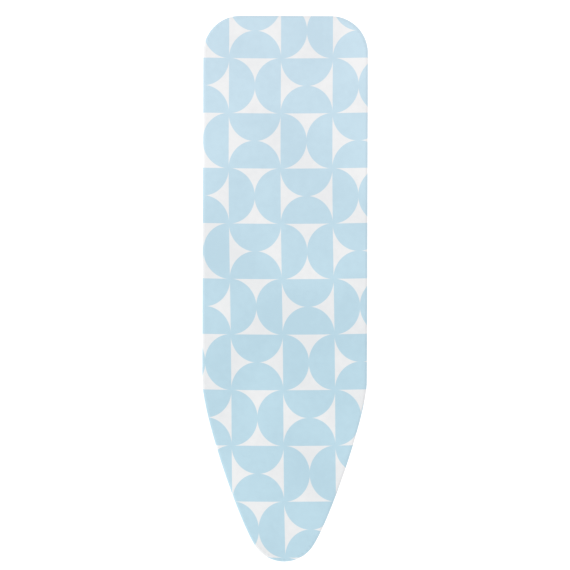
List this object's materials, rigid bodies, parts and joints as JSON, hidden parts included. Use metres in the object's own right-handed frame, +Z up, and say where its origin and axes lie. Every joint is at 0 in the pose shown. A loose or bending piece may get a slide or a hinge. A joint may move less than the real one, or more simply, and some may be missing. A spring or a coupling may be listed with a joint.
{
  "type": "ironing board",
  "caption": "Folding ironing board with a padded steel top, a fitted printed cotton cover, crossing tube legs, a height ratchet and a storage catch.",
  "frame": {"origin": "on the floor under the middle of the standing board", "axes": "+Z up, +Y along the board towards its blunt end, +X across the board towards the release grip; the nose is at -Y"},
  "size_m": [0.374, 1.24, 0.9],
  "materials": {
    "printed_cotton": "woven cotton, printed with pale blue half discs on off-white",
    "hem_cotton": "woven cotton binding",
    "cord": "braided cotton cord",
    "foam": "open-cell foam",
    "felt": "needled felt",
    "coated_steel_sheet": "light grey powder coat",
    "coated_tube": "satin light grey powder coat",
    "zinc_steel": "bright zinc plate",
    "grey_plastic": "fine moulded grain",
    "nylon": "natural nylon",
    "spring_steel": "drawn wire"
  },
  "bodies": {
    "board": {"cover": "printed_cotton", "cover_skirt": "printed_cotton", "cover_hem_straight": "printed_cotton", "cover_hem_curved": "printed_cotton", "hem_binding_straight": "hem_cotton", "hem_binding_curved": "hem_cotton", "drawstring": "cord", "cord_lock_case": "grey_plastic", "cord_lock_spring": "spring_steel", "foam_pad": "foam", "felt_pad": "felt", "steel_top": "coated_steel_sheet", "steel_rim": "coated_steel_sheet", "slide_rail_left": "zinc_steel", "slide_rail_right": "zinc_steel", "rail_rivets": "zinc_steel", "pivot_bracket": "zinc_steel", "bracket_rivets": "zinc_steel", "ratchet_bracket": "zinc_steel", "ratchet_pin": "zinc_steel", "ratchet_spring": "spring_steel", "catch_bracket": "zinc_steel", "catch_pin": "zinc_steel"},
    "inner_legs": {"inner_leg_tube_left": "coated_tube", "inner_leg_tube_right": "coated_tube", "inner_leg_brace": "coated_tube", "nose_foot_bar": "coated_tube", "nose_foot_cap_left": "grey_plastic", "nose_foot_cap_right": "grey_plastic", "inner_leg_plugs": "grey_plastic", "pivot_axle": "zinc_steel", "pivot_axle_nuts": "zinc_steel", "pivot_spacer": "nylon", "cross_pivot_bolts": "zinc_steel", "cross_pivot_nuts": "zinc_steel", "cross_pivot_washers": "nylon"},
    "outer_legs": {"outer_leg_tube_left": "coated_tube", "outer_leg_tube_right": "coated_tube", "outer_leg_brace": "coated_tube", "blunt_foot_bar": "coated_tube", "blunt_foot_cap_left": "grey_plastic", "blunt_foot_cap_right": "grey_plastic", "outer_leg_plugs": "grey_plastic"},
    "slider": {"slider_rod": "zinc_steel", "slider_spacers": "nylon", "slider_end_caps": "grey_plastic", "glide_shoe_left": "nylon", "glide_shoe_right": "nylon"},
    "release_lever": {"ratchet_plate": "zinc_steel", "release_arm": "zinc_steel", "release_grip": "grey_plastic"},
    "catch": {"storage_catch": "zinc_steel", "catch_tab": "grey_plastic"},
    "lock_button": {"cord_lock_button": "grey_plastic"}
  },
  "joints": [
    {"name": "leg_fold", "type": "hinge", "parent": "board", "child": "inner_legs", "pos_m": [0, 0.45, 0.858], "axis": [-1, 0, 0], "range_deg": [0, 48.14]},
    {"name": "leg_cross", "type": "hinge", "parent": "inner_legs", "child": "outer_legs", "pos_m": [0, 0.15891, 0.50182], "axis": [-1, 0, 0], "range_deg": [-96.28, 0]},
    {"name": "slider_swivel", "type": "hinge", "parent": "outer_legs", "child": "slider", "pos_m": [0, -0.13218, 0.858], "axis": [-1, 0, 0], "range_deg": [0, 48.14]},
    {"name": "release_pull", "type": "hinge", "parent": "board", "child": "release_lever", "pos_m": [0, -0.345, 0.875], "axis": [1, 0, 0], "range_deg": [0, 2.4], "stiffness_Nm_per_rad": 6, "springref_deg": -8.59},
    {"name": "catch_turn", "type": "hinge", "parent": "board", "child": "catch", "pos_m": [0, -0.50055, 0.872], "axis": [-1, 0, 0], "range_deg": [0, 16]},
    {"name": "button_press", "type": "slide", "parent": "board", "child": "lock_button", "axis": [0, 1, 0], "range_m": [0, 0.003], "stiffness_N_per_m": 500, "springref_m": -0.004, "deforming": ["cord_lock_spring"]}
  ],
  "couplings": [
    {"joint": "leg_cross", "follows": "leg_fold", "ratio": -2},
    {"joint": "slider_swivel", "follows": "leg_fold", "ratio": 1}
  ]
}
